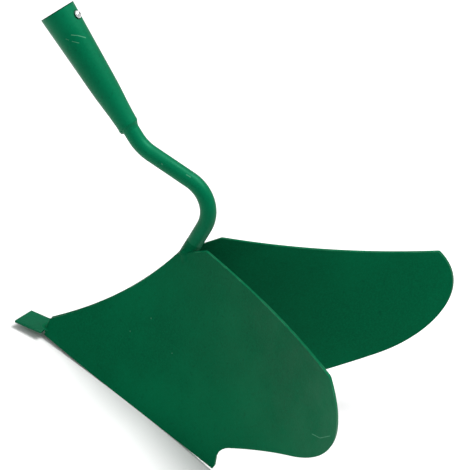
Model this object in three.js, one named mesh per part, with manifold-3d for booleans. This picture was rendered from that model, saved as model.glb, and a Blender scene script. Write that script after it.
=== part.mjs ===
// Socketed ridging hoe head: two bent steel wings meet along a ridge, a share point sticks out
// at the nose, and an S-bent neck rod carries a rolled conical socket for a wooden handle.
// Millimetres, +Z up. While it is built, X = 0 is the foot of the nose, +X runs to the rear and
// Z = 0 is the ground under the cutting edges. The finished head is moved so that its origin is
// the centre of its box on the ground. The plane Y = 0 is the plane of symmetry.

import * as THREE from 'three';
import { mergeVertices } from 'three/addons/utils/BufferGeometryUtils.js';
import Module from 'manifold-3d';

const wasm = await Module();
wasm.setup();

const GAP = 0.3;                     // clearance kept between neighbouring pieces
const FAR = 400;                     // longer than any piece, for cutting solids
const JOIN = 1e-4;                   // corners closer than this are one corner

// Wings: each is a flat sheet bent about one direction, its ruling.
const SHEET = 2.4;                   // sheet thickness
const RULING_YAW = 30.4;             // degrees that the ruling turns outwards from the rear
const RULING_DIP = 45.1;             // degrees that the ruling dips below the horizontal
const NOSE_LIFT = 17.5;              // height of the bend's reference point above the ground
const BEND = [[-19.5, -4.2], [89, 28.5], [198, 62.5], [283, 206]];  // Bezier section across it
const BEND_STEPS = 56;
const BAND_LOW = -80;                // where the bent band starts and ends along the ruling
const BAND_HIGH = 200;

// Wing outline in the side view, as [x, z].
const NOSE_FOOT = [-0.4, 4.6];
const EDGE_PULL = [95, -3.4];
const TIP = [197.5, 3.6];
const TIP_BACK = [198.6, 7];
const NOTCH_FOOT = [196.8, 15];
const NOTCH_PULL = [197, 24.5];
const NOTCH_END = [207, 31.5];
const TAIL_START = [262, 73];
const TAIL_PULL_LOW = [294.4, 96.7];
const TAIL_PULL_HIGH = [317.7, 141.5];
const TOP_REAR = [276.6, 175.8];
const TOP_PULL = [195, 164.6];
const TOP_FRONT = [119.6, 159.6];
const RIDGE_TOP = [91.8, 137];
const RIDGE_PULL = [62.2, 72.7];
const RIDGE_FOOT = [-0.4, 19.3];
const OUTLINE_STEPS = 14;            // straight steps in each curved stretch

// Neck rod: a round bar bent twice.
const ROD_R = 7;
const ROD_SIDES = 28;
const ROD_STEPS = 44;
const ROD_BEND_TOP = [34.4, 213.2];  // where the straight stretches would meet
const ROD_BEND_REAR = [113, 200.4];
const ROD_FOOT = [95, 115];
const ROD_BEND_TOP_R = 38;
const ROD_BEND_REAR_R = 29;

// Socket: rolled from sheet into a cone, open at the mouth, with a butt seam underneath.
const MOUTH = [-70.2, 294.6];        // centre of the mouth
const SOCKET_LENGTH = 110;
const SOCKET_TILT = 37.9;            // degrees that the axis falls towards the rear
const SOCKET_PROFILE = [[0, 15.5], [78, 11.6], [98, 9.7], [110, 9.1]];  // [from mouth, radius]
const SOCKET_WALL = 1.8;
const SOCKET_SIDES = 56;
const SEAM_WIDTH = 0.8;
const ROD_IN_SOCKET = 24;            // how far the rod reaches into the small end

// Fixing screw: a round-head wood screw through the upper side of the socket.
const SCREW_FROM_MOUTH = 11.3;
const SCREW_SHANK_R = 2;
const SCREW_LENGTH = 12;
const SCREW_POINT = 5;
const SCREW_HEAD_R = 3.6;
const SCREW_HEAD_HEIGHT = 2.4;
const RECESS_LENGTH = 4;             // cross recess in the head
const RECESS_WIDTH = 0.84;
const RECESS_DEPTH = 1.5;
const SCREW_SIDES = 32;
const SCREW_DOME_STEPS = 8;

// Share point: a flat bar under the nose, wide in front of the wings, with a tang between them.
const POINT_HALF_WIDTH = 12.5;
const POINT_THICK = 2.4;
const POINT_FRONT = -26;
const POINT_SKEW = 1.5;              // half of the end cut's run out of square
const POINT_SHOULDER = -1;
const TANG_HALF_WIDTH = 4.6;
const TANG_END = 30;
const POINT_TOP = 9.9;               // height of the top face above the nose's foot
const POINT_TILT = 4;                // degrees that the bar falls towards its front end

// Weld beads.
const RIDGE_BEAD_R = 2.6;
const RIDGE_BEAD_DROP = 6.5;
const RIDGE_BEAD_START = 0.06;       // where the bead starts and ends along the ridge
const RIDGE_BEAD_END = 0.8;
const RIDGE_BEAD_STEPS = 24;
const COLLAR_REACH = 3.2;            // how far the ring at the socket's end reaches down the rod
const COLLAR_SAG = 0.5;
const COLLAR_STEPS = 5;
const BEAD_SIDES = 12;
const NECK_WELD = [100.3, -6.6, 144.6];  // middle of the weld on the right side of the rod
const NECK_WELD_R = [6.5, 2.9, 4];
const NECK_WELD_LEAN = 39;           // degrees that it leans with the wing's short top edge
const NOSE_WELD = [0.4, 0, 13];
const NOSE_WELD_R = [2.2, 3.6, 5.2];
const WELD_STEPS = 10;
const WELD_SIDES = 28;

const PAINT = { color: 0x00583a, roughness: 0.42, metalness: 0 };
const BARE = { color: 0xc9ccd0, roughness: 0.3, metalness: 1 };

const rad = THREE.MathUtils.degToRad;
const vec = (x, y, z) => new THREE.Vector3(x, y, z);
const sidePoint = ([x, z]) => vec(x, 0, z);

// A closed three.js geometry as a manifold solid.
function toSolid(geometry) {
  const bare = geometry.index ? geometry.toNonIndexed() : geometry.clone();
  bare.deleteAttribute('normal');
  bare.deleteAttribute('uv');
  const merged = mergeVertices(bare, JOIN);
  return new wasm.Manifold(new wasm.Mesh({
    numProp: 3,
    vertProperties: new Float32Array(merged.attributes.position.array),
    triVerts: new Uint32Array(merged.index.array),
  }));
}

// A manifold solid as a three.js geometry.
function toGeometry(solid) {
  const mesh = solid.getMesh();
  const geometry = new THREE.BufferGeometry();
  geometry.setAttribute('position', new THREE.BufferAttribute(mesh.vertProperties, 3));
  geometry.setIndex(new THREE.BufferAttribute(mesh.triVerts, 1));
  geometry.computeVertexNormals();
  return geometry;
}

// The mirror image of a geometry in the plane of symmetry.
function mirrored(geometry) {
  const flat = geometry.index ? geometry.toNonIndexed() : geometry.clone();
  flat.scale(1, -1, 1);
  const place = flat.attributes.position;
  for (let corner = 0; corner < place.count; corner += 3) {
    const first = vec().fromBufferAttribute(place, corner);
    const last = vec().fromBufferAttribute(place, corner + 2);
    place.setXYZ(corner, last.x, last.y, last.z);
    place.setXYZ(corner + 2, first.x, first.y, first.z);
  }
  return flat;
}

// A side-view shape in X and Z as a slab from one Y to another.
function sideSlab(shape, yLow, yHigh) {
  const slab = new THREE.ExtrudeGeometry(shape, {
    depth: yHigh - yLow,
    bevelEnabled: false,
    curveSegments: OUTLINE_STEPS,
  });
  slab.rotateX(Math.PI / 2);
  slab.translate(0, yHigh, 0);
  return slab;
}

// A round bar along a curve.
function roundBar(path, radius, sides, steps) {
  const section = new THREE.Shape();
  for (let side = 0; side < sides; side += 1) {
    const turn = (side / sides) * 2 * Math.PI;
    const place = [radius * Math.cos(turn), radius * Math.sin(turn)];
    if (side === 0) section.moveTo(...place);
    else section.lineTo(...place);
  }
  section.closePath();
  return new THREE.ExtrudeGeometry(section, { steps, bevelEnabled: false, extrudePath: path });
}

// The three axes of a wing's bend: across the ruling, away from the plane of symmetry, along it.
function bendAxes() {
  const along = vec(
    Math.cos(rad(RULING_DIP)) * Math.cos(rad(RULING_YAW)),
    -Math.cos(rad(RULING_DIP)) * Math.sin(rad(RULING_YAW)),
    -Math.sin(rad(RULING_DIP)),
  );
  const across = vec(1, 0, 0).addScaledVector(along, -along.x).normalize();
  const outward = vec().crossVectors(along, across);
  return new THREE.Matrix4().makeBasis(across, outward, along).setPosition(0, 0, NOSE_LIFT);
}

// The bent sheet of the right wing before its outline is cut, at the thickness given.
function bentBand(thickness) {
  const bend = new THREE.CubicBezierCurve(...BEND.map(([s, v]) => new THREE.Vector2(s, v)));
  const outer = [];
  const inner = [];
  for (let step = 0; step <= BEND_STEPS; step += 1) {
    const place = bend.getPoint(step / BEND_STEPS);
    const ahead = bend.getTangent(step / BEND_STEPS);
    const side = new THREE.Vector2(-ahead.y, ahead.x).multiplyScalar(thickness / 2);
    outer.push(place.clone().add(side));
    inner.unshift(place.clone().sub(side));
  }
  const band = new THREE.ExtrudeGeometry(new THREE.Shape([...outer, ...inner]), {
    depth: BAND_HIGH - BAND_LOW,
    bevelEnabled: false,
  });
  band.translate(0, 0, BAND_LOW);
  band.applyMatrix4(bendAxes());
  return band;
}

function wingOutline() {
  const outline = new THREE.Shape();
  outline.moveTo(...NOSE_FOOT);
  outline.quadraticCurveTo(...EDGE_PULL, ...TIP);
  outline.lineTo(...TIP_BACK);
  outline.lineTo(...NOTCH_FOOT);
  outline.quadraticCurveTo(...NOTCH_PULL, ...NOTCH_END);
  outline.lineTo(...TAIL_START);
  outline.bezierCurveTo(...TAIL_PULL_LOW, ...TAIL_PULL_HIGH, ...TOP_REAR);
  outline.quadraticCurveTo(...TOP_PULL, ...TOP_FRONT);
  outline.lineTo(...RIDGE_TOP);
  outline.quadraticCurveTo(...RIDGE_PULL, ...RIDGE_FOOT);
  outline.closePath();
  return outline;
}

function socketFrame() {
  const along = vec(Math.cos(rad(SOCKET_TILT)), 0, -Math.sin(rad(SOCKET_TILT)));
  const up = vec(Math.sin(rad(SOCKET_TILT)), 0, Math.cos(rad(SOCKET_TILT)));
  return { along, up, mouth: sidePoint(MOUTH) };
}

// Lays a body made about +Y along the socket, from the mouth to the neck, its +X side up.
function alongSocket(geometry) {
  const { along, up, mouth } = socketFrame();
  const side = vec().crossVectors(up, along);
  geometry.applyMatrix4(new THREE.Matrix4().makeBasis(up, along, side).setPosition(mouth));
  return geometry;
}

// The rod's centre line: straight stretches joined by round bends.
function rodPath() {
  const { along, mouth } = socketFrame();
  const start = mouth.clone().addScaledVector(along, SOCKET_LENGTH - ROD_IN_SOCKET);
  const corners = [start, sidePoint(ROD_BEND_TOP), sidePoint(ROD_BEND_REAR), sidePoint(ROD_FOOT)];
  const bends = [ROD_BEND_TOP_R, ROD_BEND_REAR_R];
  const path = new THREE.CurvePath();
  let from = start;
  bends.forEach((radius, index) => {
    const corner = corners[index + 1];
    const before = corners[index].clone().sub(corner).normalize();
    const after = corners[index + 2].clone().sub(corner).normalize();
    const turn = Math.PI - before.angleTo(after);
    const reach = radius * Math.tan(turn / 2);
    const handle = reach - radius * (4 / 3) * Math.tan(turn / 4);
    const bendStart = corner.clone().addScaledVector(before, reach);
    const bendEnd = corner.clone().addScaledVector(after, reach);
    const pullStart = corner.clone().addScaledVector(before, handle);
    const pullEnd = corner.clone().addScaledVector(after, handle);
    path.add(new THREE.LineCurve3(from, bendStart));
    path.add(new THREE.CubicBezierCurve3(bendStart, pullStart, pullEnd, bendEnd));
    from = bendEnd;
  });
  path.add(new THREE.LineCurve3(from, corners[3]));
  return path;
}

function rodSolid(radius) {
  return toSolid(roundBar(rodPath(), radius, ROD_SIDES, ROD_STEPS));
}

// The share point, grown all round by a clearance.
function pointSolid(clearance) {
  const wide = POINT_HALF_WIDTH + clearance;
  const slim = TANG_HALF_WIDTH + clearance;
  const shoulder = POINT_SHOULDER + clearance;
  const plan = new THREE.Shape();
  plan.moveTo(POINT_FRONT - POINT_SKEW - clearance, -wide);
  plan.lineTo(shoulder, -wide);
  plan.lineTo(shoulder, -slim);
  plan.lineTo(TANG_END + clearance, -slim);
  plan.lineTo(TANG_END + clearance, slim);
  plan.lineTo(shoulder, slim);
  plan.lineTo(shoulder, wide);
  plan.lineTo(POINT_FRONT + POINT_SKEW - clearance, wide);
  plan.closePath();
  const bar = new THREE.ExtrudeGeometry(plan, {
    depth: POINT_THICK + 2 * clearance,
    bevelEnabled: false,
  });
  bar.translate(0, 0, -POINT_THICK - clearance);
  bar.rotateY(-rad(POINT_TILT));
  bar.translate(0, 0, POINT_TOP);
  return toSolid(bar);
}

// The right wing, notched round the rod and the share point.
function rightWing() {
  const halfSpace = sideSlab(wingOutline(), -FAR, -GAP / 2);
  return toSolid(bentBand(SHEET))
    .intersect(toSolid(halfSpace))
    .subtract(rodSolid(ROD_R + GAP))
    .subtract(pointSolid(GAP));
}

// Both sheets, thick enough to keep the gap to whatever is cut by them.
function bothSheets() {
  const right = bentBand(SHEET + 2 * GAP);
  return toSolid(right).add(toSolid(mirrored(right)));
}

// The rolled cone as a solid, drawn in by an inset and run past its ends by an overrun.
function cone(inset, overrun) {
  const rims = SOCKET_PROFILE.map(([z, r]) => new THREE.Vector2(r - inset, z));
  rims[0].y -= overrun;
  rims[rims.length - 1].y += overrun;
  const profile = [
    new THREE.Vector2(0, rims[0].y),
    ...rims,
    new THREE.Vector2(0, rims[rims.length - 1].y),
  ];
  return alongSocket(new THREE.LatheGeometry(profile, SOCKET_SIDES));
}

function screwCentre() {
  const { along, up, mouth } = socketFrame();
  const [[, mouthR], [taperEnd, taperR]] = SOCKET_PROFILE;
  const radius = mouthR + ((taperR - mouthR) * SCREW_FROM_MOUTH) / taperEnd;
  return mouth.clone().addScaledVector(along, SCREW_FROM_MOUTH).addScaledVector(up, radius);
}

// Stands a body made about +Y on the socket where the screw goes in.
function atScrew(geometry) {
  const { along, up } = socketFrame();
  const side = vec().crossVectors(along, up);
  const place = new THREE.Matrix4().makeBasis(along, up, side).setPosition(screwCentre());
  geometry.applyMatrix4(place);
  return geometry;
}

function socket() {
  const hole = new THREE.CylinderGeometry(
    SCREW_SHANK_R + GAP,
    SCREW_SHANK_R + GAP,
    4 * SOCKET_WALL,
    SCREW_SIDES,
  );
  const seam = new THREE.BoxGeometry(FAR, FAR, SEAM_WIDTH);
  seam.translate(-FAR / 2, 0, 0);
  return toSolid(cone(0, 0))
    .subtract(toSolid(cone(SOCKET_WALL, GAP)))
    .subtract(toSolid(atScrew(hole)))
    .subtract(toSolid(alongSocket(seam)));
}

function fixingScrew() {
  const profile = [new THREE.Vector2(0, -SCREW_LENGTH)];
  profile.push(new THREE.Vector2(SCREW_SHANK_R, SCREW_POINT - SCREW_LENGTH));
  profile.push(new THREE.Vector2(SCREW_SHANK_R, GAP));
  profile.push(new THREE.Vector2(SCREW_HEAD_R, GAP));
  for (let step = 1; step < SCREW_DOME_STEPS; step += 1) {
    const turn = (step / SCREW_DOME_STEPS) * (Math.PI / 2);
    const radius = SCREW_HEAD_R * Math.cos(turn);
    profile.push(new THREE.Vector2(radius, GAP + SCREW_HEAD_HEIGHT * Math.sin(turn)));
  }
  profile.push(new THREE.Vector2(0, GAP + SCREW_HEAD_HEIGHT));
  const recess = [Math.PI / 4, -Math.PI / 4].map((turn) => {
    const arm = new THREE.BoxGeometry(RECESS_LENGTH, 2 * RECESS_DEPTH, RECESS_WIDTH);
    arm.rotateY(turn);
    arm.translate(0, GAP + SCREW_HEAD_HEIGHT, 0);
    return toSolid(atScrew(arm));
  });
  return toSolid(atScrew(new THREE.LatheGeometry(profile, SCREW_SIDES)))
    .subtract(recess[0])
    .subtract(recess[1]);
}

// The ring of weld between the socket's small end and the rod, laid on heavier underneath.
function socketWeld() {
  const [, endR] = SOCKET_PROFILE[SOCKET_PROFILE.length - 1];
  const profile = [new THREE.Vector2(0, 0), new THREE.Vector2(endR, 0)];
  for (let step = 0; step <= COLLAR_STEPS; step += 1) {
    const turn = (step / COLLAR_STEPS) * (Math.PI / 2);
    const radius = ROD_R + (endR - ROD_R) * Math.cos(turn);
    profile.push(new THREE.Vector2(radius, COLLAR_REACH * Math.sin(turn)));
  }
  profile.push(new THREE.Vector2(0, COLLAR_REACH));
  const ring = new THREE.LatheGeometry(profile, SOCKET_SIDES);
  ring.translate(-COLLAR_SAG, SOCKET_LENGTH + GAP, 0);
  return toSolid(alongSocket(ring)).subtract(rodSolid(ROD_R + GAP));
}

// The weld that fills the inside of the V under the ridge.
function ridgeWeld() {
  const ridge = new THREE.QuadraticBezierCurve3(...[RIDGE_FOOT, RIDGE_PULL, RIDGE_TOP].map(sidePoint));
  const places = [];
  for (let step = 0; step <= RIDGE_BEAD_STEPS; step += 1) {
    const t = RIDGE_BEAD_START + ((RIDGE_BEAD_END - RIDGE_BEAD_START) * step) / RIDGE_BEAD_STEPS;
    const ahead = ridge.getTangent(t);
    const inwards = vec(ahead.z, 0, -ahead.x);
    places.push(ridge.getPoint(t).addScaledVector(inwards, RIDGE_BEAD_DROP));
  }
  const path = new THREE.CatmullRomCurve3(places);
  return toSolid(roundBar(path, RIDGE_BEAD_R, BEAD_SIDES, RIDGE_BEAD_STEPS))
    .subtract(bothSheets());
}

// Both wings, thickened by the gap and moved a little, to cut a weld that lies over their edges.
function wingsMoved(x, z) {
  const slab = sideSlab(wingOutline(), -FAR, 0);
  const kept = toSolid(slab).add(toSolid(slab.clone().translate(x, 0, z)));
  const right = toSolid(bentBand(SHEET + 2 * GAP)).intersect(kept);
  return right.add(toSolid(mirrored(toGeometry(right))));
}

// An egg-shaped lump of weld.
function lump(centre, radii, lean) {
  const profile = [];
  for (let step = 0; step <= WELD_STEPS; step += 1) {
    const turn = (step / WELD_STEPS - 0.5) * Math.PI;
    const radius = step % WELD_STEPS === 0 ? 0 : Math.cos(turn);
    profile.push(new THREE.Vector2(radius, Math.sin(turn)));
  }
  const egg = new THREE.LatheGeometry(profile, WELD_SIDES);
  egg.scale(...radii);
  egg.rotateY(-rad(lean));
  egg.translate(...centre);
  return toSolid(egg);
}

// The weld between the rod's right side and the top of the right wing.
function neckWeld() {
  return lump(NECK_WELD, NECK_WELD_R, NECK_WELD_LEAN)
    .subtract(wingsMoved(0, 2 * GAP))
    .subtract(rodSolid(ROD_R + GAP));
}

// The weld that closes the front of the V above the share point.
function noseWeld() {
  return lump(NOSE_WELD, NOSE_WELD_R, 0)
    .subtract(wingsMoved(-2 * GAP, 0))
    .subtract(pointSolid(GAP));
}

const head = new THREE.Group();

function addPiece(name, shape, look) {
  const geometry = shape.isBufferGeometry ? shape : toGeometry(shape);
  const piece = new THREE.Mesh(geometry, new THREE.MeshStandardMaterial(look));
  piece.name = name;
  head.add(piece);
}

const wing = rightWing();
addPiece('wing_right', wing, PAINT);
addPiece('wing_left', mirrored(toGeometry(wing)), PAINT);
addPiece('share_point', pointSolid(0), PAINT);
addPiece('neck_rod', rodSolid(ROD_R), PAINT);
addPiece('socket', socket(), PAINT);
addPiece('fixing_screw', fixingScrew(), BARE);
addPiece('socket_weld', socketWeld(), PAINT);
addPiece('ridge_weld', ridgeWeld(), PAINT);
addPiece('nose_weld', noseWeld(), PAINT);
const neck = neckWeld();
addPiece('neck_weld_right', neck, PAINT);
addPiece('neck_weld_left', mirrored(toGeometry(neck)), PAINT);

const box = new THREE.Box3().setFromObject(head);
head.position.set(-(box.min.x + box.max.x) / 2, 0, -box.min.z);

export default head;
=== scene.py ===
"""A socketed ridging hoe head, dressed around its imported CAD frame.

The pieces are drawn in millimetres, in the frame that the CAD part is drawn in (X = 0 at the
foot of the nose, +X to the rear, Z = 0 on the ground, Y = 0 the plane of symmetry), and are
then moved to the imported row's frame in metres.
"""

import math

import bmesh
import bpy
import numpy as np
from mathutils import Matrix, Vector, geometry, noise


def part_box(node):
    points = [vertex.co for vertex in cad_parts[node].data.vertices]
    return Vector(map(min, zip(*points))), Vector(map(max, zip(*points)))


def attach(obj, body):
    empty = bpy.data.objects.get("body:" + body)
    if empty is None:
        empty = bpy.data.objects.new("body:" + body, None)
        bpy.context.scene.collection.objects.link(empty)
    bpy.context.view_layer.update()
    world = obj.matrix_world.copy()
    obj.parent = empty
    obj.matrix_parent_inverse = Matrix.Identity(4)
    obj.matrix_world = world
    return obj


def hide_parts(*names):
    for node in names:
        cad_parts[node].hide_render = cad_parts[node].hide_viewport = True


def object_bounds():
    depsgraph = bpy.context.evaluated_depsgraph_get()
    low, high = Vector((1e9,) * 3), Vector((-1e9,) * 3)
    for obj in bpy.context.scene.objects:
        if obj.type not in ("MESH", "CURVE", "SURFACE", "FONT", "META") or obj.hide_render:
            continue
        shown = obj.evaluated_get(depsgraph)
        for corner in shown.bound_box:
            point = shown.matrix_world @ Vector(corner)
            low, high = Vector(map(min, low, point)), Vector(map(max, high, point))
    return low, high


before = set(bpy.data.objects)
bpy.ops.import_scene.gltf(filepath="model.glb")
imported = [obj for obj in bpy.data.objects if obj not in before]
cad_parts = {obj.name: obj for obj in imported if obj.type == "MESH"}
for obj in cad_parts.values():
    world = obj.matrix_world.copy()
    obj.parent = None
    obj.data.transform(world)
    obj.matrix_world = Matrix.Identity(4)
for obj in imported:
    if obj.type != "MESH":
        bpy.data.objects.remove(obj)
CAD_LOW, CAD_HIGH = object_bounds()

# ---------------------------------------------------------------- sizes of the part

SHEET = 2.4
RULING_YAW = math.radians(30.4)
RULING_DIP = math.radians(45.1)
NOSE_LIFT = 17.5
BEND = ((-19.5, -4.2), (89, 28.5), (198, 62.5), (283, 206))

NOSE_FOOT = (-0.4, 4.6)
EDGE_PULL = (95, -3.4)
TIP = (197.5, 3.6)
TIP_BACK = (198.6, 7)
NOTCH_FOOT = (196.8, 15)
NOTCH_PULL = (197, 24.5)
NOTCH_END = (207, 31.5)
TAIL_START = (262, 73)
TAIL_PULL_LOW = (294.4, 96.7)
TAIL_PULL_HIGH = (317.7, 141.5)
TOP_REAR = (276.6, 175.8)
TOP_PULL = (195, 164.6)
TOP_FRONT = (119.6, 159.6)
RIDGE_TOP = (91.8, 137)
RIDGE_PULL = (62.2, 72.7)
RIDGE_FOOT = (-0.4, 19.3)

ROD_R = 7
ROD_CORNERS = ((34.4, 213.2), (113, 200.4))
ROD_FOOT = (95, 115)
ROD_BEND_R = (38, 29)

MOUTH = (-70.2, 294.6)
SOCKET_LENGTH = 110
SOCKET_TILT = math.radians(37.9)
SOCKET_PROFILE = ((0, 15.5), (78, 11.6), (98, 9.7), (110, 9.1))
SOCKET_WALL = 1.8
SEAM_WIDTH = 0.8
ROD_IN_SOCKET = 24

SCREW_FROM_MOUTH = 11.3
SCREW_SHANK_R = 2
SCREW_LENGTH = 12
SCREW_POINT = 5
SCREW_HEAD_R = 3.6
SCREW_HEAD_HEIGHT = 2.4
SCREW_GAP = 0.3
SCREW_SHADE_RING = 1.4  # width of the ring of painted shade round the screw's head, standing in for the shade in the gap under the head
MOUTH_RIM = 0.9  # width of the dark band at the socket's mouth

POINT_HALF_WIDTH = 12.5
POINT_THICK = 2.4
POINT_FRONT = -26
POINT_SKEW = 1.5
POINT_SHOULDER = -1
TANG_HALF_WIDTH = 4.6
TANG_END = 30
POINT_TOP = 9.9
POINT_TILT = math.radians(4)

RIDGE_BEAD_R = 2.6
RIDGE_BEAD_DROP = 6.5
RIDGE_BEAD_SPAN = (0.02, 0.87)  # from the nose to the rod's foot, as shares of the ridge
RIDGE_BEAD_RINGS = 90
# distance past the socket's end and lift above its radius
SOCKET_END_SKIN = ((-9, -0.5), (-6, 0.12), (-2, 0.14), (0.2, 0.1), (0.6, -0.6))
# distance past the socket's end and lift above the rod's radius
FILLET_SKIN = ((-0.8, 2.15), (0.4, 2.2), (1.3, 1.8), (2.4, 1.1), (3.8, 0.5), (5.4, 0.1), (6.4, -0.6))
WELD_LUMPS = 22
NECK_WELD = (100.3, -6.6, 144.6)
NECK_WELD_R = (6.5, 2.6, 3.6)
NECK_WELD_LEAN = 39
NECK_PATCH = (101.5, 139.5)
NECK_PATCH_R = 6.5
NOSE_WELD = (0.4, 0, 13)
NOSE_WELD_R = (2.2, 3.6, 5.2)
NOSE_PATCH = (3.4, 12)
NOSE_PATCH_R = 4.6
# heights of the runs of weld along each wing's front edge
NOSE_RUN = (7.5, 9.5, 11.5, 13.5, 15.5, 17.3)
NOSE_RUN_X = 1.3
NOSE_RUN_R = 2.3

MM = 0.001

# ---------------------------------------------------------------- small helpers


def side(point, y=0.0):
    """A side-view point (x, z) as a vector."""
    return Vector((point[0], y, point[1]))


def quadratic(a, b, c, count):
    """Points on a quadratic Bezier from a to c, without its last one."""
    a, b, c = (np.array(p, float) for p in (a, b, c))
    t = np.linspace(0, 1, count, endpoint=False)[:, None]
    return (1 - t) ** 2 * a + 2 * t * (1 - t) * b + t**2 * c


def cubic(a, b, c, d, count):
    """Points on a cubic Bezier from a to d, without its last one."""
    a, b, c, d = (np.array(p, float) for p in (a, b, c, d))
    t = np.linspace(0, 1, count, endpoint=False)[:, None]
    return (1 - t) ** 3 * a + 3 * t * (1 - t) ** 2 * b + 3 * t**2 * (1 - t) * c + t**3 * d


def straight(a, b, count):
    """Points on a line from a to b, without its last one."""
    a, b = np.array(a, float), np.array(b, float)
    t = np.linspace(0, 1, count, endpoint=False)[:, None]
    return a + (b - a) * t


def point_outline():
    """The share point's outline from above, anticlockwise."""
    return [
        (POINT_FRONT - POINT_SKEW, -POINT_HALF_WIDTH),
        (POINT_SHOULDER, -POINT_HALF_WIDTH),
        (POINT_SHOULDER, -TANG_HALF_WIDTH),
        (TANG_END, -TANG_HALF_WIDTH),
        (TANG_END, TANG_HALF_WIDTH),
        (POINT_SHOULDER, TANG_HALF_WIDTH),
        (POINT_SHOULDER, POINT_HALF_WIDTH),
        (POINT_FRONT + POINT_SKEW, POINT_HALF_WIDTH),
    ]


def point_place(x, y, z):
    """A spot of the share point, which falls a little towards its front end."""
    turned = Matrix.Rotation(-POINT_TILT, 3, "Y") @ Vector((x, y, z))
    return turned + Vector((0, 0, POINT_TOP))


def row_shift():
    """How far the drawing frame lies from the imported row's frame, in millimetres."""
    corners = [point_place(x, y, z) for x, y in point_outline() for z in (0, -POINT_THICK)]
    low = Vector([min(c[axis] for c in corners) for axis in range(3)])
    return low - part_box("share_point")[0] / MM


SHIFT = row_shift()


def to_row(point):
    """A drawn point in millimetres as a point of the row frame in metres."""
    return (Vector(point) - SHIFT) * MM


def new_object(name, places, faces):
    """A mesh object from drawn points and faces, with its normals turned outwards."""
    mesh = bpy.data.meshes.new(name)
    mesh.from_pydata([to_row(p) for p in places], [], faces)
    work = bmesh.new()
    work.from_mesh(mesh)
    bmesh.ops.recalc_face_normals(work, faces=work.faces)
    work.to_mesh(mesh)
    work.free()
    mesh.shade_smooth()
    made = bpy.data.objects.new(name, mesh)
    bpy.context.collection.objects.link(made)
    return made


def round_edges(made, width, segments=3, angle=40, keep=None):
    """Rounds the edges sharper than an angle. keep(edge middle, row frame) may spare some."""
    mesh = made.data
    work = bmesh.new()
    work.from_mesh(mesh)
    weight = work.edges.layers.float.new("bevel_weight_edge")
    limit = math.radians(angle)
    for edge in work.edges:
        if len(edge.link_faces) != 2 or edge.calc_face_angle() < limit:
            continue
        middle = (edge.verts[0].co + edge.verts[1].co) / 2
        if keep is None or not keep(middle):
            edge[weight] = 1
    work.to_mesh(mesh)
    work.free()
    bevel = made.modifiers.new("rounded edges", "BEVEL")
    bevel.width = width * MM
    bevel.segments = segments
    bevel.limit_method = "WEIGHT"
    bevel.use_clamp_overlap = True
    bevel.harden_normals = True
    return made


def cut(made, cutter):
    """Takes cutter's shape out of made, for good."""
    boolean = made.modifiers.new("cut", "BOOLEAN")
    boolean.operation = "DIFFERENCE"
    boolean.solver = "EXACT"
    boolean.object = cutter
    bpy.context.view_layer.update()
    seen = made.evaluated_get(bpy.context.evaluated_depsgraph_get())
    result = bpy.data.meshes.new_from_object(seen)
    made.modifiers.clear()
    old = made.data
    made.data = result
    bpy.data.meshes.remove(old)
    mesh = cutter.data
    bpy.data.objects.remove(cutter)
    bpy.data.meshes.remove(mesh)


def tube(rings, closed=False, caps=True):
    """Faces that join rings of the same number of points, and close the ends."""
    count = len(rings[0])
    places = [p for ring in rings for p in ring]
    faces = []
    last = len(rings) if closed else len(rings) - 1
    for ring in range(last):
        here, there = ring * count, ((ring + 1) % len(rings)) * count
        for corner in range(count):
            after = (corner + 1) % count
            faces.append((here + corner, here + after, there + after, there + corner))
    if caps and not closed:
        faces.append(tuple(range(count)))
        faces.append(tuple(range((len(rings) - 1) * count, len(rings) * count)))
    return places, faces


def circle_ring(centre, first, second, radius, sides):
    """A ring of points about centre, in the plane of two unit vectors."""
    turns = [2 * math.pi * corner / sides for corner in range(sides)]
    return [centre + (first * math.cos(a) + second * math.sin(a)) * radius for a in turns]


# ---------------------------------------------------------------- the wings


def bend_axes():
    """Across the ruling, away from the plane of symmetry, and along the ruling."""
    along = Vector(
        (
            math.cos(RULING_DIP) * math.cos(RULING_YAW),
            -math.cos(RULING_DIP) * math.sin(RULING_YAW),
            -math.sin(RULING_DIP),
        )
    )
    across = (Vector((1, 0, 0)) - along * along.x).normalized()
    return np.array(across), np.array(along.cross(across)), np.array(along)


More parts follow.
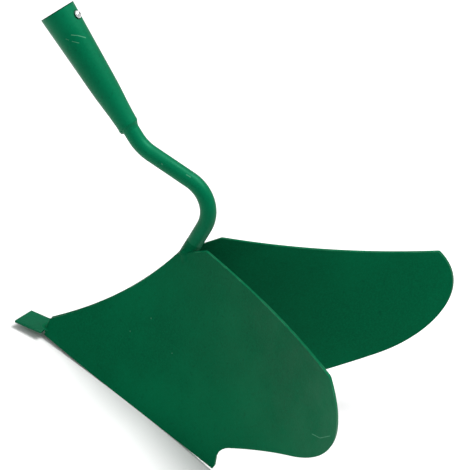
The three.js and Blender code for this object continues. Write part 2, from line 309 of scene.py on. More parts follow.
class Sheet:
    """One face of the right wing's bent sheet, offset from the middle of its thickness."""

    def __init__(self, offset):
        self.across, self.outward, self.along = bend_axes()
        steps = np.linspace(0, 1, 3001)[:, None]
        a, b, c, d = (np.array(p, float) for p in BEND)
        places = (
            (1 - steps) ** 3 * a
            + 3 * steps * (1 - steps) ** 2 * b
            + 3 * steps**2 * (1 - steps) * c
            + steps**3 * d
        )
        ahead = np.gradient(places, axis=0)
        ahead /= np.linalg.norm(ahead, axis=1)[:, None]
        places = places + offset * np.stack([-ahead[:, 1], ahead[:, 0]], axis=1)
        self.places = places
        self.arc = np.concatenate(
            [[0], np.cumsum(np.linalg.norm(np.diff(places, axis=0), axis=1))]
        )
        self.normal_to_ruling = np.array([-self.along[2], self.along[0]])
        self.key = self.flat(places) @ self.normal_to_ruling

    def flat(self, places):
        """Section points as side-view points, without the ruling and the lift."""
        section = places[:, :1] * self.across + places[:, 1:] * self.outward
        return section[:, [0, 2]]

    def lift(self, xz):
        """Points of this face over side-view points."""
        xz = np.atleast_2d(np.array(xz, float))
        start = xz - np.array([0, NOSE_LIFT])
        key = start @ self.normal_to_ruling
        order = np.argsort(self.key)
        s = np.interp(key, self.key[order], self.places[order, 0])
        v = np.interp(key, self.key[order], self.places[order, 1])
        section = s[:, None] * self.across + v[:, None] * self.outward
        ruling = np.array([self.along[0], self.along[2]])
        reach = ((start - section[:, [0, 2]]) @ ruling) / (ruling @ ruling)
        return section + reach[:, None] * self.along + np.array([0, 0, NOSE_LIFT])

    def spots(self, across_step, along_step, along_low, along_high):
        """Side-view points of a grid whose lines follow the ruling."""
        arcs = np.arange(across_step / 2, self.arc[-1], across_step)
        s = np.interp(arcs, self.arc, self.places[:, 0])
        v = np.interp(arcs, self.arc, self.places[:, 1])
        base = self.flat(np.stack([s, v], axis=1)) + np.array([0, NOSE_LIFT])
        ruling = np.array([self.along[0], self.along[2]])
        reach = np.arange(along_low, along_high, along_step)
        return (base[:, None, :] + reach[None, :, None] * ruling).reshape(-1, 2)

    def on_ridge(self, heights, y):
        """Side-view points at these heights where this face ends: at y or at the ridge's cut."""
        low = np.full(len(heights), -60.0)
        high = np.full(len(heights), 150.0)
        for _ in range(40):
            middle = (low + high) / 2
            beyond = self.lift(np.stack([middle, heights], axis=1))[:, 1] > y
            low = np.where(beyond, middle, low)
            high = np.where(beyond, high, middle)
        cut_line = np.vstack([quadratic(RIDGE_FOOT, RIDGE_PULL, RIDGE_TOP, 60), [RIDGE_TOP]])
        at_cut = np.interp(heights, cut_line[:, 1], cut_line[:, 0])
        return np.stack([np.maximum((low + high) / 2, at_cut), heights], axis=1)


def rounded(stretches, radius, count=4):
    """Joins open stretches into one loop, and rounds the corners between them."""
    loop = []
    for index, stretch in enumerate(stretches):
        corner = stretch[0]
        before = stretches[index - 1][-1]
        after = stretch[1]
        reach_in = min(radius, 0.45 * np.linalg.norm(before - corner))
        reach_out = min(radius, 0.45 * np.linalg.norm(after - corner))
        start = corner + (before - corner) / np.linalg.norm(before - corner) * reach_in
        end = corner + (after - corner) / np.linalg.norm(after - corner) * reach_out
        loop.extend(quadratic(start, corner, end, count))
        loop.append(end)
        loop.extend(stretch[1:])
    return np.array(loop)


def wing_loop():
    """The wing's outline apart from its ridge, from the foot of the nose to the neck."""
    return [
        quadratic(NOSE_FOOT, EDGE_PULL, TIP, 70),
        straight(TIP, TIP_BACK, 3),
        np.vstack(
            [
                straight(TIP_BACK, NOTCH_FOOT, 4),
                quadratic(NOTCH_FOOT, NOTCH_PULL, NOTCH_END, 9),
                straight(NOTCH_END, TAIL_START, 26),
                cubic(TAIL_START, TAIL_PULL_LOW, TAIL_PULL_HIGH, TOP_REAR, 48),
            ]
        ),
        quadratic(TOP_REAR, TOP_PULL, TOP_FRONT, 56),
        straight(TOP_FRONT, RIDGE_TOP, 13),
    ]


def inside(points, loop):
    """Which points lie inside a closed loop."""
    result = np.zeros(len(points), bool)
    ahead = np.roll(loop, -1, axis=0)
    for (x0, z0), (x1, z1) in zip(loop, ahead):
        if z0 == z1:
            continue
        crosses = (points[:, 1] < z0) != (points[:, 1] < z1)
        at = x0 + (points[:, 1] - z0) * (x1 - x0) / (z1 - z0)
        result ^= crosses & (points[:, 0] < at)
    return result


def clearance(points, loop):
    """How far each point lies from the nearest corner of a loop."""
    return np.min(np.linalg.norm(points[:, None, :] - loop[None], axis=2), axis=1)


def wing_mesh():
    """Points and faces of the right wing: two bent faces, joined round their rims."""
    outer, inner, middle = Sheet(SHEET / 2), Sheet(-SHEET / 2), Sheet(0)
    stretches = wing_loop()
    rim = rounded(stretches, 1.6)
    heights = np.linspace(RIDGE_TOP[1], RIDGE_FOOT[1], 54)
    ridge = middle.on_ridge(heights, 0)
    loop = np.vstack([rim, ridge])
    spots = middle.spots(6, 8, -90, 210)
    spots = spots[inside(spots, loop)]
    spots = spots[clearance(spots, rim) > 3.2]
    spots = spots[clearance(spots, ridge) > 7]
    count = len(loop)
    flat = [Vector(p) for p in np.vstack([loop, spots])]
    result = geometry.delaunay_2d_cdt(flat, [], [tuple(range(count))], 1, 1e-6)
    made, triangles = result[0], result[2]
    xz = np.array([tuple(p) for p in made])
    outer_xz, inner_xz = xz.copy(), xz.copy()
    first = len(rim)
    outer_xz[first:count] = outer.on_ridge(heights, 0)
    inner_xz[first:count] = inner.on_ridge(heights, 0)
    places = [*outer.lift(outer_xz), *inner.lift(inner_xz)]
    size = len(xz)
    faces = [tuple(f) for f in triangles]
    faces += [tuple(size + v for v in reversed(f)) for f in triangles]
    for corner in range(count):
        after = (corner + 1) % count
        faces.append((corner, after, size + after, size + corner))
    return places, faces


def wing(name, mirror):
    places, faces = wing_mesh()
    if mirror:
        places = [(x, -y, z) for x, y, z in places]
    made = new_object(name, places, faces)
    ridge_y = 1.2 * MM
    return round_edges(made, 0.5, keep=lambda middle: abs(middle.y) < ridge_y)


# ---------------------------------------------------------------- the neck rod


def socket_axes():
    along = Vector((math.cos(SOCKET_TILT), 0, -math.sin(SOCKET_TILT)))
    up = Vector((math.sin(SOCKET_TILT), 0, math.cos(SOCKET_TILT)))
    return along, up, side(MOUTH)


def rod_path(step=2.0):
    """Points along the rod's centre line, with the direction at each."""
    along, _, mouth = socket_axes()
    start = mouth + along * (SOCKET_LENGTH - ROD_IN_SOCKET)
    corners = [start, *[side(c) for c in ROD_CORNERS], side(ROD_FOOT)]
    line = []

    def run(a, b):
        ahead = (b - a).normalized()
        count = max(2, round((b - a).length / step))
        line.extend((a + (b - a) * (i / count), ahead) for i in range(count))

    here = start
    for index, radius in enumerate(ROD_BEND_R):
        corner = corners[index + 1]
        before = (corners[index] - corner).normalized()
        after = (corners[index + 2] - corner).normalized()
        turn = math.pi - before.angle(after)
        reach = radius * math.tan(turn / 2)
        bend_start = corner + before * reach
        run(here, bend_start)
        axis = (-before).cross(after).normalized()
        centre = bend_start + axis.cross(-before) * radius
        count = max(4, round(radius * turn / step))
        for i in range(count):
            spin = Matrix.Rotation(turn * i / count, 3, axis)
            line.append((centre + spin @ (bend_start - centre), spin @ -before))
        here = corner + after * reach
    run(here, corners[3])
    line.append((corners[3], (corners[3] - here).normalized()))
    return line


def neck_rod():
    cross = Vector((0, 1, 0))
    rings = [circle_ring(p, cross, ahead.cross(cross), ROD_R, 48) for p, ahead in rod_path()]
    made = new_object("rod_bar", *tube(rings))
    return round_edges(made, 0.8, segments=2)


# ---------------------------------------------------------------- the socket


def socket_radius(distance):
    """The outer radius at a distance from the mouth, with its corners eased."""
    stations, radii = zip(*SOCKET_PROFILE)
    reach = min(7.0, distance, SOCKET_LENGTH - distance)
    spots = np.linspace(distance - reach, distance + reach, 9)
    return float(np.mean(np.interp(spots, stations, radii)))


def socket_shell():
    along, up, mouth = socket_axes()
    cross = up.cross(along)
    sides = 96
    rings = []
    for distance in np.linspace(0, SOCKET_LENGTH, 56):
        outer = socket_radius(distance)
        half_seam = math.asin(SEAM_WIDTH / 2 / outer)
        turns = np.linspace(math.pi + half_seam, 3 * math.pi - half_seam, sides)
        centre = mouth + along * distance
        ring = [centre + (up * math.cos(a) + cross * math.sin(a)) * outer for a in turns]
        inner = outer - SOCKET_WALL
        ring += [
            centre + (up * math.cos(a) + cross * math.sin(a)) * inner for a in turns[::-1]
        ]
        rings.append(ring)
    places, faces = tube(rings, caps=False)
    for start in (0, (len(rings) - 1) * 2 * sides):
        for corner in range(sides - 1):
            far = 2 * sides - 1 - corner
            faces.append((start + corner, start + corner + 1, start + far - 1, start + far))
    made = new_object("handle_socket", places, faces)
    centre = screw_centre()
    reach = [centre + up * height for height in (-3 * SOCKET_WALL, 3 * SOCKET_WALL)]
    hole = [circle_ring(p, along, cross, SCREW_SHANK_R + SCREW_GAP, 32) for p in reach]
    cut(made, new_object("hole", *tube(hole)))
    return round_edges(made, 0.4, angle=50)


# ---------------------------------------------------------------- the fixing screw


def screw_centre():
    along, up, mouth = socket_axes()
    start, end = SOCKET_PROFILE[:2]
    radius = start[1] + (end[1] - start[1]) * SCREW_FROM_MOUTH / end[0]
    return mouth + along * SCREW_FROM_MOUTH + up * radius


def fixing_screw():
    along, up, _ = socket_axes()
    cross = up.cross(along)
    centre = screw_centre()
    profile = [(0.05, -SCREW_LENGTH), (SCREW_SHANK_R, SCREW_POINT - SCREW_LENGTH)]
    profile += [(SCREW_SHANK_R, SCREW_GAP), (SCREW_HEAD_R - 0.2, SCREW_GAP)]
    for turn in np.linspace(0.06, 0.47, 12) * math.pi:
        height = SCREW_GAP + SCREW_HEAD_HEIGHT * math.sin(turn)
        profile.append((SCREW_HEAD_R * math.cos(turn), height))
    rings = [circle_ring(centre + up * z, along, cross, r, 48) for r, z in profile]
    made = new_object("round_head_screw", *tube(rings))
    slope = math.radians(45)
    for quarter in (0, 1):
        turn = slope + quarter * math.pi / 2
        first = along * math.cos(turn) + cross * math.sin(turn)
        second = up.cross(first)
        top = centre + up * (SCREW_GAP + SCREW_HEAD_HEIGHT)
        rings = []
        for height, half in ((-1.5, 0.9), (0.5, 2.1)):
            middle = top + up * height
            corners = ((-1, -1), (1, -1), (1, 1), (-1, 1))
            rings.append([middle + first * half * a + second * 0.42 * b for a, b in corners])
        cut(made, new_object("recess", *tube(rings)))
    return round_edges(made, 0.1, segments=2, angle=50)


# ---------------------------------------------------------------- the share point


def share_point():
    outline = point_outline()
    rings = [[point_place(x, y, z) for x, y in outline] for z in (-POINT_THICK, 0)]
    made = new_object("share_point_bar", *tube(rings))
    return round_edges(made, 0.5, segments=3, angle=20)


# ---------------------------------------------------------------- the welds


def ripple(place, scale, seed):
    """Smooth unevenness between -1 and 1, the same on each run."""
    return noise.noise(Vector(place) / scale + Vector((seed, seed, seed)))


def egg(centre, axes, radii, rings=16, sides=24):
    """A closed egg about centre, with three radii along three unit vectors."""
    first, second, third = (Vector(a) * r for a, r in zip(axes, radii))
    places, faces = [centre - third], []
    for ring in range(1, rings):
        tilt = math.pi * (ring / rings - 0.5)
        for corner in range(sides):
            turn = 2 * math.pi * corner / sides
            across = (first * math.cos(turn) + second * math.sin(turn)) * math.cos(tilt)
            places.append(centre + across + third * math.sin(tilt))
    places.append(centre + third)
    last = len(places) - 1
    for corner in range(sides):
        after = (corner + 1) % sides
        faces.append((0, 1 + after, 1 + corner))
        faces.append((last, last - sides + corner, last - sides + after))
        for ring in range(rings - 2):
            here, there = 1 + ring * sides, 1 + (ring + 1) * sides
            faces.append((here + corner, here + after, there + after, there + corner))
    return places, faces


def skin(name, parts, voxel, rounds):
    """Overlapping closed shapes as one smooth skin, the way weld and paint run together."""
    places, faces = [], []
    for part_places, part_faces in parts:
        start = len(places)
        places.extend(part_places)
        faces.extend(tuple(start + v for v in f) for f in part_faces)
    made = new_object(name, places, faces)
    remesh = made.modifiers.new("one skin", "REMESH")
    remesh.mode = "VOXEL"
    remesh.voxel_size = voxel * MM
    remesh.use_smooth_shade = True
    smooth = made.modifiers.new("run together", "SMOOTH")
    smooth.factor = 0.5
    smooth.iterations = rounds
    bpy.context.view_layer.update()
    seen = made.evaluated_get(bpy.context.evaluated_depsgraph_get())
    result = bpy.data.meshes.new_from_object(seen)
    made.modifiers.clear()
    old = made.data
    made.data = result
    bpy.data.meshes.remove(old)
    made.data.shade_smooth()
    return made


def sleeve(stations, sides=40):
    """A tube about a line, from (centre, direction, radius) stations."""
    rings = []
    for centre, ahead, radius in stations:
        first = ahead.orthogonal().normalized()
        rings.append(circle_ring(centre, first, ahead.cross(first), radius, sides))
    return tube(rings)


def rod_sleeve(from_foot, to_foot, proud):
    """A thin skin over the rod between two distances from its foot, sinking in at its ends."""
    line = rod_path(1.0)
    length = 0.0
    stations = []
    for index in range(len(line) - 1, 0, -1):
        place, ahead = line[index]
        if from_foot <= length <= to_foot:
            along = (length - from_foot) / (to_foot - from_foot)
            lift = proud - 1.4 * abs(2 * along - 1) ** 6
            stations.append((place, ahead, ROD_R + lift))
        length += (line[index - 1][0] - place).length
    return sleeve(stations)


def socket_weld():
    """The weld that runs from the socket's end onto the rod, heavier underneath."""
    along, up, mouth = socket_axes()
    cross = up.cross(along)
    end_r = SOCKET_PROFILE[-1][1]
    end = mouth + along * SOCKET_LENGTH
    parts = [
        sleeve([(end + along * d, along, end_r + lift) for d, lift in SOCKET_END_SKIN]),
        sleeve([(end + along * d, along, ROD_R + lift) for d, lift in FILLET_SKIN]),
    ]
    for index in range(WELD_LUMPS):
        turn = 2 * math.pi * index / WELD_LUMPS
        out = up * math.cos(turn) + cross * math.sin(turn)
        below = max(0.0, -math.cos(turn + 0.35))
        size = 1.15 + 0.6 * below + 0.12 * ripple(out * 9, 2.5, 3.1)
        place = end + along * (0.7 + 2.1 * below) + out * (ROD_R + 0.7 + 0.35 * below)
        parts.append(egg(place, (out, out.cross(along), along), (size, 1.7, size + 1.5 * below), 8, 12))
    return skin("socket_weld_ring", parts, 0.4, 5)


def sheet_axes(x, z):
    """The middle of the right wing's sheet over a side-view point, and its plane and normal."""
    middle = Sheet(0)
    spot, ahead, above = (Vector(p) for p in middle.lift([(x, z), (x + 1, z), (x, z + 1)]))
    first = (ahead - spot).normalized()
    normal = first.cross(above - spot).normalized()
    return spot, (first, normal.cross(first), normal)


def flip(part):
    """The mirror image of a part in the plane of symmetry."""
    places, faces = part
    return [Vector((p[0], -p[1], p[2])) for p in places], [tuple(reversed(f)) for f in faces]


def neck_welds():
    """The weld that runs the rod's foot into the top of both wings."""
    parts = [rod_sleeve(14, 44, 0.2)]
    slope = math.radians(NECK_WELD_LEAN)
    lean = Vector((math.cos(slope), 0, math.sin(slope)))
    axes = (lean, Vector((0, 1, 0)), lean.cross(Vector((0, 1, 0))))
    spot, plane = sheet_axes(*NECK_PATCH)
    for part in (
        egg(Vector(NECK_WELD), axes, NECK_WELD_R),
        egg(spot, plane, (NECK_PATCH_R, NECK_PATCH_R, SHEET / 2 + 0.35)),
    ):
        parts += [part, flip(part)]
    return skin("neck_weld_skin", parts, 0.5, 9)


def nose_weld():
    """The weld that closes the nose above the share point and softens the join."""
    upright = (Vector((1, 0, 0)), Vector((0, 1, 0)), Vector((0, 0, 1)))
    parts = [egg(Vector(NOSE_WELD), upright, NOSE_WELD_R)]
    spot, plane = sheet_axes(*NOSE_PATCH)
    patch = egg(spot, plane, (NOSE_PATCH_R, NOSE_PATCH_R, SHEET / 2 + 0.3))
    parts += [patch, flip(patch)]
    for height in NOSE_RUN:
        spot, plane = sheet_axes(NOSE_RUN_X, height)
        run = egg(spot, plane, (NOSE_RUN_R, NOSE_RUN_R, SHEET / 2 + 0.22))
        parts += [run, flip(run)]
    flat = [point_place(*p) - point_place(0, 0, 0) for p in ((1, 0, 0), (0, 1, 0), (0, 0, 1))]
    parts.append(egg(point_place(-1.5, 0, -0.6), flat, (6, 8, 0.9)))
    return skin("nose_weld_skin", parts, 0.4, 6)


def ridge_weld():
    """The bead that fills the inside of the V under the ridge."""
    start, end = RIDGE_BEAD_SPAN
    foot, pull, top = (side(p) for p in (RIDGE_FOOT, RIDGE_PULL, RIDGE_TOP))
    cross = Vector((0, 1, 0))
    rings = []
    for step in range(RIDGE_BEAD_RINGS + 1):
        t = start + (end - start) * step / RIDGE_BEAD_RINGS
        place = foot * (1 - t) ** 2 + pull * (2 * t * (1 - t)) + top * t**2
        ahead = ((pull - foot) * (1 - t) + (top - pull) * t).normalized()
        inwards = Vector((ahead.z, 0, -ahead.x))
        taper = math.sqrt(max(0.02, 1 - abs(2 * step / RIDGE_BEAD_RINGS - 1) ** 12))
        radius = RIDGE_BEAD_R * taper * (1 + 0.12 * ripple(place, 2.2, 7.7))
        rings.append(circle_ring(place + inwards * RIDGE_BEAD_DROP, cross, inwards, radius, 20))
    return new_object("ridge_weld_bead", *tube(rings))


# ---------------------------------------------------------------- materials


def srgb(red, green, blue):
    """An 8-bit display colour as a linear one."""

    def channel(value):
        value /= 255
        return value / 12.92 if value <= 0.04045 else ((value + 0.055) / 1.055) ** 2.4

    return channel(red), channel(green), channel(blue), 1.0


class Nodes:
    """A short way to write a material's node tree."""

    def __init__(self, name):
        self.material = bpy.data.materials.new(name)
        self.material.use_nodes = True
        self.tree = self.material.node_tree
        self.shader = self.tree.nodes["Principled BSDF"]
        coordinates = self.tree.nodes.new("ShaderNodeTexCoord")
        self.place = coordinates.outputs["Object"]

    def link(self, value, socket):
        if isinstance(value, bpy.types.NodeSocket):
            self.tree.links.new(value, socket)
        else:
            socket.default_value = value

    def math(self, operation, a, b=0.0, clamp=False):
        node = self.tree.nodes.new("ShaderNodeMath")
        node.operation = operation
        node.use_clamp = clamp
        self.link(a, node.inputs[0])
        self.link(b, node.inputs[1])
        return node.outputs[0]

    def vector(self, operation, a, b=(0, 0, 0)):
        node = self.tree.nodes.new("ShaderNodeVectorMath")
        node.operation = operation
        self.link(a, node.inputs[0])
        self.link(b, node.inputs[1])
        return node.outputs["Value" if operation in ("DOT_PRODUCT", "LENGTH", "DISTANCE") else "Vector"]

    def noise(self, scale, detail=2.0, roughness=0.5, place=None):
        node = self.tree.nodes.new("ShaderNodeTexNoise")
        node.inputs["Scale"].default_value = scale
        node.inputs["Detail"].default_value = detail
        node.inputs["Roughness"].default_value = roughness
        self.link(place or self.place, node.inputs["Vector"])
        return node.outputs["Fac"]

    def ramp(self, value, low, high, to_low=0.0, to_high=1.0):
        """value from low..high to to_low..to_high, eased and held at the ends."""
        node = self.tree.nodes.new("ShaderNodeMapRange")
        node.interpolation_type = "SMOOTHSTEP"
        self.link(value, node.inputs["Value"])
        node.inputs["From Min"].default_value = low
        node.inputs["From Max"].default_value = high
        node.inputs["To Min"].default_value = to_low
        node.inputs["To Max"].default_value = to_high
        return node.outputs["Result"]

    def mix(self, factor, a, b):
        node = self.tree.nodes.new("ShaderNodeMix")
        node.data_type = "RGBA"
        self.link(factor, node.inputs[0])
        self.link(a, node.inputs[6])
        self.link(b, node.inputs[7])
        return node.outputs[2]

    def edges(self, radius):
        """1 on sharp edges and 0 away from them."""
        bevel = self.tree.nodes.new("ShaderNodeBevel")
        bevel.samples = 6
        bevel.inputs["Radius"].default_value = radius
        normal = self.tree.nodes.new("ShaderNodeNewGeometry").outputs["Normal"]
        return self.ramp(self.vector("DOT_PRODUCT", bevel.outputs[0], normal), 0.998, 0.94)

    def stroke(self, start, end, width):
        """1 along a short scratch between two points of the row frame."""
        start, end = Vector(start), Vector(end)
        run = end - start
        offset = self.vector("SUBTRACT", self.place, tuple(start))
        along = self.vector("DOT_PRODUCT", offset, tuple(run / run.length_squared))
        along = self.math("MINIMUM", self.math("MAXIMUM", along, 0.0), 1.0)
        scale = self.tree.nodes.new("ShaderNodeVectorMath")
        scale.operation = "SCALE"
        scale.inputs[0].default_value = tuple(run)
        self.link(along, scale.inputs["Scale"])
        gap = self.vector("SUBTRACT", offset, scale.outputs["Vector"])
        return self.ramp(self.vector("LENGTH", gap), width, width * 0.3)

    def bump(self, height, distance, strength=1.0, onto=None):
        node = self.tree.nodes.new("ShaderNodeBump")
        node.inputs["Strength"].default_value = strength
        node.inputs["Distance"].default_value = distance
        self.link(height, node.inputs["Height"])
        if onto:
            self.link(onto, node.inputs["Normal"])
        return node.outputs["Normal"]


def enamel(name, deep=(0, 82, 51), light=(0, 95, 60), edge_wear_and_highlight=0.5, strokes=(),
           painted_shade_ring=None, dark_rim=None, gloss=0.24):
    """Satin enamel over steel: mottled, lightly orange-peeled, worn and chipped along its edges, whose
    lighter tone is worn paint and painted highlight; may add a ring of painted shade and a dark rim band.
    """
    nodes = Nodes(name)
    cloud = nodes.noise(9, 3, 0.55)
    speck = nodes.noise(620, 2, 0.6)
    colour = nodes.mix(nodes.ramp(cloud, 0.35, 0.68), srgb(*deep), srgb(*light))
    paler = nodes.mix(nodes.ramp(speck, 0.35, 0.75, 0.0, 0.3), colour, srgb(0, 108, 70))
    darker = nodes.mix(nodes.ramp(nodes.noise(330, 2, 0.5), 0.55, 0.8, 0.0, 0.35), paler, srgb(0, 62, 42))
    # thin rubbed patches and handling marks
    streak_place = nodes.vector("MULTIPLY", nodes.place, (1.0, 0.22, 0.5))
    streaks = nodes.ramp(nodes.noise(420, 4, 0.7, streak_place), 0.69, 0.76)
    patches = nodes.ramp(nodes.noise(16, 2, 0.5), 0.56, 0.7)
    marks = nodes.math("MULTIPLY", streaks, patches)
    for start, end, width in strokes:
        marks = nodes.math("MAXIMUM", marks, nodes.stroke(start, end, width))
    marks = nodes.math("MULTIPLY", marks, nodes.ramp(nodes.noise(900, 2), 0.3, 0.55, 0.35, 1.0))
    marked = nodes.mix(nodes.math("MULTIPLY", marks, 0.55), darker, srgb(96, 156, 126))
    # lighter edges: worn paint, and painted highlight where the cut edges catch the light
    edge_rub_and_highlight = nodes.math("MULTIPLY", nodes.edges(0.0011), nodes.ramp(nodes.noise(70, 4, 0.65), 0.42, 0.62))
    worn_and_lit_edges = nodes.math("MULTIPLY", edge_rub_and_highlight, edge_wear_and_highlight)
    finished = nodes.mix(worn_and_lit_edges, marked, srgb(62, 124, 94))
    if dark_rim:
        plane, ahead, width = dark_rim
        inward = nodes.vector("SUBTRACT", nodes.place, tuple(plane))
        depth = nodes.vector("DOT_PRODUCT", inward, tuple(ahead))
        finished = nodes.mix(nodes.ramp(depth, width, width * 0.5, 0.0, 0.85), finished, srgb(8, 44, 30))
    # painted shade: a dark ring round the screw's head, where shade falls in the gap under it
    if painted_shade_ring:
        centre, inner, outer = painted_shade_ring
        away = nodes.vector("DISTANCE", nodes.place, tuple(centre))
        ring = nodes.ramp(away, outer, inner, 0.0, 0.8)
        finished = nodes.mix(ring, finished, srgb(4, 34, 24))
    nodes.link(finished, nodes.shader.inputs["Base Color"])
    sheen = nodes.ramp(nodes.noise(45, 3), 0.3, 0.7, 0.36, 0.5)
    rough = nodes.math("ADD", sheen, nodes.math("MULTIPLY", marks, 0.15))
    nodes.link(rough, nodes.shader.inputs["Roughness"])
    wavy = nodes.bump(nodes.noise(26, 2), 0.0012, 0.35)
    peel = nodes.bump(nodes.noise(520, 2), 0.00016, 0.35, wavy)
    chips = nodes.bump(nodes.math("SUBTRACT", 1.0, nodes.math("MAXIMUM", worn_and_lit_edges, marks)), 0.0001, 0.5, peel)
    nodes.link(chips, nodes.shader.inputs["Normal"])
    nodes.shader.inputs["Specular IOR Level"].default_value = gloss
    nodes.shader.inputs["Specular Tint"].default_value = (0.1, 0.9, 0.5, 1)
    return nodes.material


def zinc(name):
    """Bright zinc plate with a faint fine bump and a little grime."""
    nodes = Nodes(name)
    grime = nodes.ramp(nodes.noise(700, 4, 0.65), 0.5, 0.75)
    colour = nodes.mix(grime, srgb(222, 224, 224), srgb(150, 150, 142))
    nodes.link(colour, nodes.shader.inputs["Base Color"])
    nodes.shader.inputs["Metallic"].default_value = 0.75
    nodes.link(nodes.ramp(nodes.noise(900, 3), 0.3, 0.7, 0.2, 0.42), nodes.shader.inputs["Roughness"])
    nodes.link(nodes.bump(nodes.noise(1600, 3), 0.00005, 0.4), nodes.shader.inputs["Normal"])
    return nodes.material


def floor_finish():
    """A plain pale studio floor with a faint unevenness of tone."""
    nodes = Nodes("studio_floor")
    tone = nodes.ramp(nodes.noise(1.4, 2), 0.3, 0.7)
    nodes.link(nodes.mix(tone, (0.86, 0.86, 0.86, 1), (0.9, 0.9, 0.9, 1)), nodes.shader.inputs["Base Color"])
    nodes.shader.inputs["Roughness"].default_value = 0.85
    nodes.shader.inputs["Specular IOR Level"].default_value = 0.1
    return nodes.material


# Small scratches: from, to and width, in metres in the row frame.
SOCKET_MARKS = (
    ((-0.157, -0.0123, 0.2861), (-0.1525, -0.0093, 0.2867), 0.0005),
    ((-0.1525, -0.0093, 0.2867), (-0.1473, -0.005, 0.2857), 0.0006),
    ((-0.1599, -0.0142, 0.2816), (-0.1575, -0.0139, 0.2816), 0.0004),
    ((-0.1547, -0.0131, 0.2815), (-0.1493, -0.0109, 0.2817), 0.0004),
)
ROD_MARKS = (
    ((-0.0524, -0.0068, 0.2108), (-0.0515, -0.0068, 0.2104), 0.0006),
    ((-0.0296, -0.0048, 0.2106), (-0.0257, -0.0046, 0.2101), 0.0006),
)
WING_MARKS = (
    ((-0.014, -0.0098, 0.1385), (-0.0097, -0.0098, 0.1355), 0.0006),
    ((0.1666, -0.1147, 0.1113), (0.1752, -0.1226, 0.1166), 0.0005),
    ((0.1752, -0.1226, 0.1166), (0.184, -0.1327, 0.1294), 0.0005),
    ((-0.0327, -0.0146, 0.0534), (-0.032, -0.0146, 0.0529), 0.0005),
    ((-0.0183, -0.0149, 0.0751), (-0.0178, -0.0149, 0.0745), 0.0005),
    ((0.0128, -0.0288, 0.0622), (0.0131, -0.0288, 0.0617), 0.0005),
)


# ---------------------------------------------------------------- putting it together


def dress(made, nodes, body, material):
    """Gives a piece its finish, and lets it stand for its CAD node or nodes."""
    made.data.materials.clear()
    made.data.materials.append(material)
    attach(made, body)
    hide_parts(*([nodes] if isinstance(nodes, str) else nodes))
    return made


def build_head():
    screw_spot = to_row(screw_centre())
    paint = enamel("wing_enamel", (0, 81, 50), (0, 94, 59), strokes=WING_MARKS, gloss=0.05)
    dress(wing("wing_right_plate", False), "wing_right", "head", paint)
    dress(wing("wing_left_plate", True), "wing_left", "head", paint)
    bar_paint = enamel("point_enamel", (0, 74, 47), (0, 88, 58), edge_wear_and_highlight=0.8)
    dress(share_point(), "share_point", "head", bar_paint)
    rod_paint = enamel("rod_enamel", (0, 88, 56), (0, 100, 66), strokes=ROD_MARKS)
    dress(neck_rod(), "neck_rod", "head", rod_paint)
    # the ring of painted shade round the screw's head
    ring = (screw_spot, SCREW_HEAD_R * MM, (SCREW_HEAD_R + SCREW_SHADE_RING) * MM)
    along, _, mouth = socket_axes()
    rim = (to_row(mouth), along, MOUTH_RIM * MM)
    shell = enamel(
        "socket_enamel",
        (0, 90, 58),
        (4, 102, 68),
        strokes=SOCKET_MARKS,
        painted_shade_ring=ring,
        dark_rim=rim,
    )
    dress(socket_shell(), "socket", "head", shell)
    weld = enamel("weld_enamel", (0, 88, 56), (0, 98, 64), edge_wear_and_highlight=0.3)
    dress(socket_weld(), "socket_weld", "head", weld)
    dress(ridge_weld(), "ridge_weld", "head", weld)
    dress(neck_welds(), ("neck_weld_right", "neck_weld_left"), "head", paint)
    dress(nose_weld(), "nose_weld", "head", paint)
    dress(fixing_screw(), "fixing_screw", "screw", zinc("screw_zinc"))


# ---------------------------------------------------------------- floor, light and camera


def area_light(name, place, aim, size, power):
    light = bpy.data.lights.new(name, "AREA")
    light.shape = "DISK"
    light.size = size
    light.energy = power
    made = bpy.data.objects.new(name, light)
    made.location = place
    made.rotation_mode = "QUATERNION"
    made.rotation_quaternion = (aim - place).to_track_quat("-Z", "Y")
    bpy.context.collection.objects.link(made)


def floor(reach=6.0, count=12):
    """A large pale floor under the head, as a grid."""
    mesh = bpy.data.meshes.new("studio_floor")
    line = np.linspace(-reach, reach, count + 1)
    height = CAD_LOW.z
    places = [(x, y, height) for y in line for x in line]
    faces = []
    for row in range(count):
        for column in range(count):
            start = row * (count + 1) + column
            faces.append((start, start + 1, start + count + 2, start + count + 1))
    mesh.from_pydata(places, [], faces)
    mesh.materials.append(floor_finish())
    made = bpy.data.objects.new("studio_floor", mesh)
    bpy.context.collection.objects.link(made)


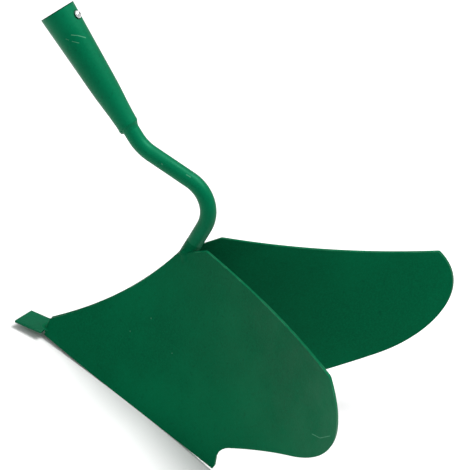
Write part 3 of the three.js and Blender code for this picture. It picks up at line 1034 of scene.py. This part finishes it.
CAMERA_AZIMUTH = math.radians(15.13)
CAMERA_ELEVATION = math.radians(29.74)
CAMERA_ROLL = math.radians(18.38)
CAMERA_DISTANCE = 1.9736
CAMERA_AIM = Vector((0.0209, 0.0142, 0.0145))
CAMERA_LENS = 180.9

# Each light's place is given along the camera's right, up and back directions, in metres.
SKY_STRENGTH = 0.4
KEY_PLACE = (0.992, 1.6, 0.8)
KEY_SIZE = 1.2
KEY_POWER = 58
FILL_PLACE = (-0.8, 1.0, 2.0)
FILL_SIZE = 2.0
FILL_POWER = 10


def camera_axes():
    """The camera's right, up and back directions."""
    azimuth, elevation = CAMERA_AZIMUTH, CAMERA_ELEVATION
    level = Vector((math.cos(azimuth), math.sin(azimuth), 0))
    back = Vector(
        (
            math.sin(azimuth) * math.cos(elevation),
            -math.cos(azimuth) * math.cos(elevation),
            math.sin(elevation),
        )
    )
    tilted = back.cross(level)
    right = level * math.cos(CAMERA_ROLL) + tilted * math.sin(CAMERA_ROLL)
    return right, back.cross(right), back


def camera(centre):
    right, up, back = camera_axes()
    data = bpy.data.cameras.new("camera")
    data.lens = CAMERA_LENS
    data.sensor_width = 36
    data.clip_start = 0.1
    made = bpy.data.objects.new("camera", data)
    turn = Matrix((right, up, back)).transposed().to_4x4()
    made.matrix_world = Matrix.Translation(centre + CAMERA_AIM + back * CAMERA_DISTANCE) @ turn
    bpy.context.collection.objects.link(made)
    bpy.context.scene.camera = made


def studio(centre):
    axes = camera_axes()
    world = bpy.data.worlds.new("studio")
    bpy.context.scene.world = world
    world.use_nodes = True
    sky = world.node_tree.nodes["Background"]
    sky.inputs["Color"].default_value = (1, 1, 1, 1)
    sky.inputs["Strength"].default_value = SKY_STRENGTH
    key = sum((axis * far for axis, far in zip(axes, KEY_PLACE)), centre)
    area_light("key", key, centre, KEY_SIZE, KEY_POWER)
    fill = sum((axis * far for axis, far in zip(axes, FILL_PLACE)), centre)
    area_light("fill", fill, centre, FILL_SIZE, FILL_POWER)


middle = (CAD_LOW + CAD_HIGH) / 2
build_head()
floor()
camera(middle)
studio(middle)
bpy.context.scene.view_settings.view_transform = "Standard"

bpy.context.view_layer.update()
